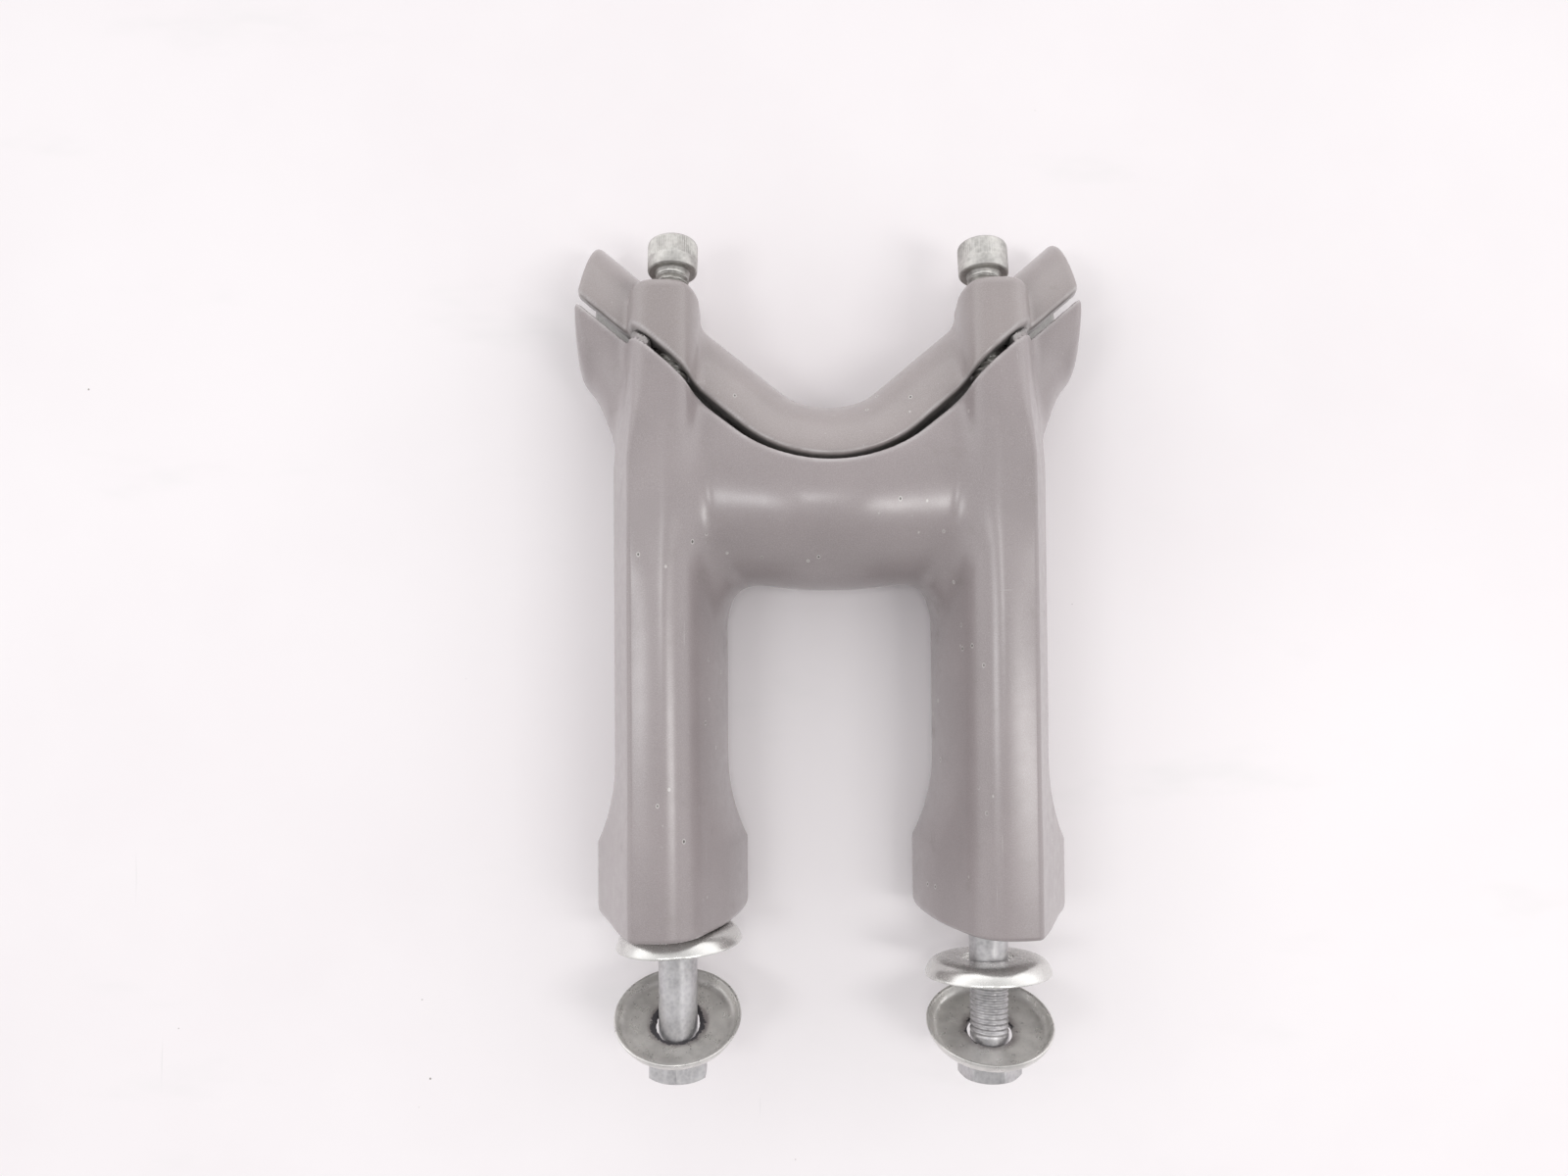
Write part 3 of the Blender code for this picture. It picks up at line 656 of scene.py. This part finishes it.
def paint_material(name, tone):
    """Satin paint with a little flake, grime, chips and hairlines, bare metal by mask, a painted
    highlight along the parting edges and painted shade in the parting gap.
    """
    n = Nodes(name)
    light, dark = tuple(c * 1.05 for c in tone), tuple(c * 0.93 for c in tone)
    cloud = n.noise(34.0, 4.0, 0.6)
    colour = n.blend(n.ramp(cloud, 0.3, 0.7), dark, light)
    flake = n.noise(5200.0, 1.0, 0.5)
    colour = n.blend(n.ramp(flake, 0.35, 0.75, 0.0, 0.22), colour, (0.52, 0.50, 0.49))
    grime = n.ramp(n.noise(120.0, 6.0, 0.7), 0.56, 0.78, 0.0, 0.30)
    colour = n.blend(grime, colour, (0.20, 0.18, 0.165))
    # small chips: dark specks with a pale ring of primer
    where = n.stretch((1.0, 0.75, 1.0))
    spots = n.cells(210.0, where)
    patch = n.ramp(n.noise(60.0, 2.0, 0.5), 0.56, 0.62)
    chip = n.math("MULTIPLY", n.ramp(spots, 0.085, 0.055), patch)
    ring = n.math("MULTIPLY", n.ramp(spots, 0.13, 0.10), patch)
    colour = n.blend(n.math("MULTIPLY", ring, 0.55), colour, (0.62, 0.60, 0.58))
    colour = n.blend(chip, colour, (0.085, 0.075, 0.07))
    # fine hairline scratches, mostly along the legs
    line_a = n.noise(1.0, 2.0, 0.5, n.stretch((2600.0, 46.0, 2600.0), (0.0, 0.0, 0.12)))
    line_b = n.noise(1.0, 2.0, 0.5, n.stretch((52.0, 2300.0, 2300.0), (0.0, 0.0, 0.5)))
    hair = n.math("MAXIMUM", n.ramp(line_a, 0.735, 0.76), n.ramp(line_b, 0.75, 0.775))
    hair = n.math("MULTIPLY", hair, n.ramp(n.noise(75.0, 2.0, 0.5), 0.5, 0.62))
    colour = n.blend(n.math("MULTIPLY", hair, 0.45), colour, (0.66, 0.64, 0.63))
    # painted highlight along the parting edges, pale and patchy
    highlight_patches = n.ramp(n.noise(90.0, 3.0, 0.6), 0.35, 0.65, 0.08, 0.5)
    colour = n.blend(n.math("MULTIPLY", n.attribute("edge"), highlight_patches), colour, (0.58, 0.56, 0.56))
    # machined faces: bare, dark grey metal
    bare = n.attribute("bare")
    tool = n.noise(1.0, 2.0, 0.5, n.stretch((900.0, 900.0, 5200.0)))
    metal_colour = n.blend(tool, (0.23, 0.22, 0.215), (0.36, 0.35, 0.34))
    colour = n.blend(bare, colour, metal_colour)
    # painted shade in the parting gap, in patches
    patchy_gap_shade = n.math("MULTIPLY", n.attribute("gap_shade"), n.ramp(n.noise(300.0, 5.0, 0.7), 0.32, 0.6))
    colour = n.blend(n.math("MULTIPLY", patchy_gap_shade, 0.5), colour, (0.15, 0.14, 0.13))
    rough = n.ramp(n.noise(260.0, 4.0, 0.6), 0.25, 0.75, 0.30, 0.40)
    rough = n.math("ADD", rough, n.math("MULTIPLY", grime, 0.5))
    rough = n.math("ADD", rough, n.math("MULTIPLY", bare, 0.12))
    peel = n.noise(620.0, 2.0, 0.4)
    fine = n.noise(4200.0, 2.0, 0.5)
    height = n.math("ADD", n.math("MULTIPLY", peel, 0.75), n.math("MULTIPLY", fine, 0.05))
    height = n.math("SUBTRACT", height, n.math("MULTIPLY", chip, 2.2))
    height = n.math("SUBTRACT", height, n.math("MULTIPLY", hair, 0.35))
    normal = n.bump(height, 0.00004, 0.55)
    return n.finish(colour, rough, n.math("MULTIPLY", bare, 0.7), normal, Coat_Weight=0.8,
                    Coat_Roughness=0.24, Coat_IOR=1.5, Specular_IOR_Level=0.5)


def zinc_material(name, tone, rough_low, rough_high, stain, grain=(1400.0, 90.0, 1400.0),
                  rubber_and_shade=False, shade=0.62, shine=1.0, texture=0.6):
    """Zinc plating: cloudy, crystalline, stained with white and brown, and by mask rubber with painted
    shade round the washer's hole.
    """
    n = Nodes(name)
    cloud = n.noise(160.0, 5.0, 0.65)
    dark = tuple(c * shade for c in tone)
    colour = n.blend(n.ramp(cloud, 0.28, 0.72), dark, tone)
    crystals = n.cells(900.0)
    colour = n.blend(n.ramp(crystals, 0.1, 0.9, 0.0, 0.42 * texture), colour, (0.78, 0.77, 0.75))
    bloom = n.ramp(n.noise(420.0, 6.0, 0.75), 0.55, 0.72)
    colour = n.blend(n.math("MULTIPLY", bloom, stain), colour, (0.60, 0.585, 0.55))
    brown = n.ramp(n.noise(95.0, 6.0, 0.72), 0.60, 0.74)
    colour = n.blend(n.math("MULTIPLY", brown, 0.55 * stain), colour, (0.22, 0.175, 0.13))
    line = n.noise(1.0, 3.0, 0.6, n.stretch(grain))
    colour = n.blend(n.ramp(line, 0.6, 0.8, 0.0, 0.4), colour, (0.30, 0.30, 0.30))
    dull = min(1.0, stain / 0.5)
    metal = n.math("SUBTRACT", shine, n.math("MULTIPLY", bloom, 0.45 * shine * dull))
    rough = n.ramp(n.noise(300.0, 5.0, 0.65), 0.25, 0.75, rough_low, rough_high)
    rough = n.math("ADD", rough, n.math("MULTIPLY", bloom, 0.14 * dull))
    if rubber_and_shade:
        gum_and_shade = n.attribute("gum_and_shade")
        halo_strength = n.ramp(n.noise(230.0, 4.0, 0.6), 0.3, 0.6, 0.35, 0.75)
        # a dark halo round the washer's hole: rubber smudge with painted shade where the shank sits in
        # the hole
        shade_and_smudge_halo = n.math("MULTIPLY", n.ramp(gum_and_shade, 0.0, 0.8), halo_strength)
        colour = n.blend(shade_and_smudge_halo, colour, (0.20, 0.17, 0.175))
        ragged = n.math("MULTIPLY", gum_and_shade, n.math("MULTIPLY", n.noise(330.0, 6.0, 0.75), 2.2))
        rubber = n.ramp(ragged, 0.86, 0.96)
        colour = n.blend(rubber, colour, (0.04, 0.037, 0.042))
        metal = n.math("MULTIPLY", metal, n.math("SUBTRACT", 1.0, rubber))
        rough = n.math("ADD", rough, n.math("MULTIPLY", rubber, 0.35))
    pits = n.noise(1500.0, 4.0, 0.6)
    height = n.math("ADD", n.math("MULTIPLY", line, 0.6), n.math("MULTIPLY", pits, 0.6))
    normal = n.bump(height, 0.00003, texture)
    return n.finish(colour, rough, metal, normal, Specular_IOR_Level=0.5)


def table_material():
    """Pale, slightly pink table top with faint smears, hairs and a few specks."""
    n = Nodes("table")
    cloud = n.noise(4.5, 5.0, 0.6)
    colour = n.blend(n.ramp(cloud, 0.3, 0.7), (0.850, 0.812, 0.826), (0.885, 0.853, 0.865))
    smear = n.noise(1.0, 4.0, 0.6, n.stretch((9.0, 26.0, 9.0), (0, 0, 0.6)))
    colour = n.blend(n.ramp(smear, 0.58, 0.8, 0.0, 0.35), colour, (0.74, 0.74, 0.735))
    specks = n.ramp(n.cells(75.0), 0.034, 0.018)
    few = n.math("MULTIPLY", n.ramp(n.noise(21.0, 1.0, 0.5), 0.585, 0.62), 0.8)
    colour = n.blend(n.math("MULTIPLY", specks, few), colour, (0.22, 0.19, 0.17))
    hair = n.noise(1.0, 2.0, 0.5, n.stretch((420.0, 14.0, 10.0), (0, 0, -0.7)))
    colour = n.blend(n.ramp(hair, 0.77, 0.8, 0.0, 0.3), colour, (0.62, 0.61, 0.61))
    return n.finish(colour, n.ramp(cloud, 0.3, 0.7, 0.34, 0.46), 0.0, None,
                    Specular_IOR_Level=0.4)


# ---- build -------------------------------------------------------------------------------
def use(ob, mat, node):
    """Puts the material on a piece that stands for this CAD node and rides its body."""
    ob.data.materials.clear()
    ob.data.materials.append(mat)
    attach(ob, node)
    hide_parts(node)


paint = paint_material("riser_paint", (0.266, 0.230, 0.233))
clamp_paint = paint_material("top_clamp_paint", (0.266, 0.231, 0.227))
screw_zinc = zinc_material("knurled_zinc", (0.55, 0.54, 0.515), 0.34, 0.50, 0.75)
bolt_zinc = zinc_material("dull_zinc", (0.55, 0.54, 0.555), 0.32, 0.48, 0.5, shade=0.68, shine=0.8)
washer_zinc = zinc_material("bright_zinc", (0.74, 0.735, 0.715), 0.24, 0.30, 0.06,
                            (60.0, 60.0, 60.0), shade=0.9, shine=0.85, texture=0.02)
lower_zinc = zinc_material("stained_zinc", (0.76, 0.745, 0.72), 0.24, 0.38, 0.25,
                           (500.0, 500.0, 500.0), rubber_and_shade=True, shade=0.7, shine=0.72, texture=0.25)

riser_ob, riser_points = mesh_from_field(
    "riser_casting", riser_field, (-75.0, -80.5, -1.5), (75.0, 104.0, 53.5), 0.75)
bare, from_parting = surface_masks(riser_points)
set_attribute(riser_ob, "bare", bare)
# the edge mask paints a highlight on the riser's bevel just below the parting gap
set_attribute(riser_ob, "edge", line_mask(from_parting, -GAP / 2 - 1.15, 0.42) * (1 - bare))
# this mask paints shade into the parting gap
set_attribute(riser_ob, "gap_shade", line_mask(from_parting, -GAP / 2 - 0.1, 0.6) * (1 - bare))
use(riser_ob, paint, "riser_body")

clamp_ob, clamp_points = mesh_from_field(
    "clamp_casting", clamp_field, (-75.0, 41.0, -1.5), (75.0, 124.0, 52.0), 0.62)
bare, from_parting = surface_masks(clamp_points)
set_attribute(clamp_ob, "bare", bare)
# the edge mask paints a highlight along the clamp's lower edge
set_attribute(clamp_ob, "edge", line_mask(from_parting, GAP / 2 + 0.75, 0.38))
# this mask paints shade into the parting gap
set_attribute(clamp_ob, "gap_shade", line_mask(from_parting, GAP / 2, 0.45) * (1 - bare))
use(clamp_ob, clamp_paint, "top_clamp")

for hand, side, proud, knurl in (("left", -1, 6.2, 1.0), ("right", 1, 4.7, 0.55)):
    ob = screw_mesh(f"socket_screw_{hand}", side, proud, knurl)
    use(ob, screw_zinc, f"clamp_screw_{hand}")
for hand, side, stands_out, turn, worn_thread in (
        ("left", -1, 35.5, math.radians(30), None),
        ("right", 1, 36.1, math.radians(10), (4.5, 22.6))):
    ob = bolt_mesh(f"hex_bolt_{hand}", side, stands_out, turn, worn_thread)
    use(ob, bolt_zinc, f"riser_bolt_{hand}")

for hand, side, floor, tilt_x, tilt_z, seed in (
        ("left", -1, -1.0, 0.0, math.radians(3.5), 1),
        ("right", 1, -10.2, math.radians(-3), math.radians(1), 2)):
    hang = WASHER_PLAY - 0.35
    ob = washer_mesh(f"cup_washer_upper_{hand}", side, floor, -1, hang, tilt_x, tilt_z, seed)
    use(ob, washer_zinc, f"upper_cup_washer_{hand}")
for hand, side, floor, tilt, seed, close, strength in (
        ("left", -1, -29.2, math.radians(29), 3, (6.25, 7.25, 0.22), 1.3),
        ("right", 1, -32.0, math.radians(22.5), 4, (6.4, 6.9, 0.03), 0.8)):
    drop = math.sin(tilt) * WASHER_STOCK / 2
    ob = washer_mesh(f"cup_washer_lower_{hand}", side, floor, 1, drop, tilt, 0.0, seed, close)
    set_attribute(ob, "gum_and_shade", gum_and_shade_mask(ob, washer_centre(side, floor, drop), tilt, strength))
    use(ob, lower_zinc, f"lower_cup_washer_{hand}")


# ---- studio ------------------------------------------------------------------------------
def floor_plane():
    """A table top just below the part's lowest points."""
    bm = bmesh.new()
    bmesh.ops.create_grid(bm, x_segments=8, y_segments=8, size=1.6)
    mesh = bpy.data.meshes.new("table_top")
    bm.to_mesh(mesh)
    bm.free()
    ob = bpy.data.objects.new("table_top", mesh)
    ob.location = (0, 0, -0.0002)
    bpy.context.scene.collection.objects.link(ob)
    mesh.materials.append(table_material())
    return ob


def area(name, spot, target, size_x, size_y, power, colour, shape="RECTANGLE"):
    """A lamp at spot that shines at target."""
    light = bpy.data.lights.new(name, "AREA")
    light.shape = shape
    light.size = size_x
    if shape == "RECTANGLE":
        light.size_y = size_y
    light.energy = power
    light.color = colour
    ob = bpy.data.objects.new(name, light)
    ob.location = spot
    ob.rotation_euler = (Vector(target) - Vector(spot)).to_track_quat("-Z", "Y").to_euler()
    bpy.context.scene.collection.objects.link(ob)


def studio_world():
    """A soft sky, brightest low down and darker overhead and towards the feet."""
    world = bpy.data.worlds.new("studio")
    world.use_nodes = True
    sky = world.node_tree
    way = sky.nodes.new("ShaderNodeTexCoord").outputs["Generated"]
    split = sky.nodes.new("ShaderNodeSeparateXYZ")
    sky.links.new(way, split.inputs[0])
    both = sky.nodes.new("ShaderNodeMath")
    both.operation = "MULTIPLY"
    for socket, axis, start, end, at_start, at_end in (
            (both.inputs[0], "Z", 0.35, 0.92, 1.58, 0.72),
            (both.inputs[1], "Y", -0.75, 0.25, 0.42, 1.08)):
        fade = sky.nodes.new("ShaderNodeMapRange")
        fade.interpolation_type = "SMOOTHSTEP"
        fade.inputs["From Min"].default_value = start
        fade.inputs["From Max"].default_value = end
        fade.inputs["To Min"].default_value = at_start
        fade.inputs["To Max"].default_value = at_end
        sky.links.new(split.outputs[axis], fade.inputs["Value"])
        sky.links.new(fade.outputs["Result"], socket)
    sky.links.new(both.outputs[0], sky.nodes["Background"].inputs["Strength"])
    sky.nodes["Background"].inputs["Color"].default_value = (0.99, 0.98, 0.985, 1)
    return world


def photo_camera():
    """A camera above the part, tipped a little, where the photographer held theirs."""
    distance = 352.75 * MM
    pitch, roll = math.radians(1.2), math.radians(-0.45)
    data = bpy.data.cameras.new("camera")
    data.sensor_width = 36.0
    data.lens = 28.125
    data.clip_start = 0.01
    camera = bpy.data.objects.new("camera", data)
    camera.location = (-0.0133, (FEET_Y + 96.0) * MM - distance * math.sin(pitch),
                       AXIS_Z * MM + distance * math.cos(pitch))
    camera.rotation_euler = (pitch, 0.0, roll)
    bpy.context.scene.collection.objects.link(camera)
    return camera


floor_plane()
area("right_lamp", (0.40, -0.12, 0.83), (0, 0, 0.03), 0.14, 0.34, 1.35, (1.0, 0.99, 0.98))
area("left_lamp", (-0.38, -0.05, 0.84), (0, 0, 0.03), 0.13, 0.20, 0.75, (0.98, 0.99, 1.0))
area("disc_lamp", (-0.035, 0.04, 0.86), (0, 0.02, 0.04), 0.07, 0.07, 0.34, (1, 1, 1), "DISK")
bpy.context.scene.world = studio_world()
bpy.context.scene.camera = photo_camera()
bpy.context.scene.view_settings.view_transform = "Standard"
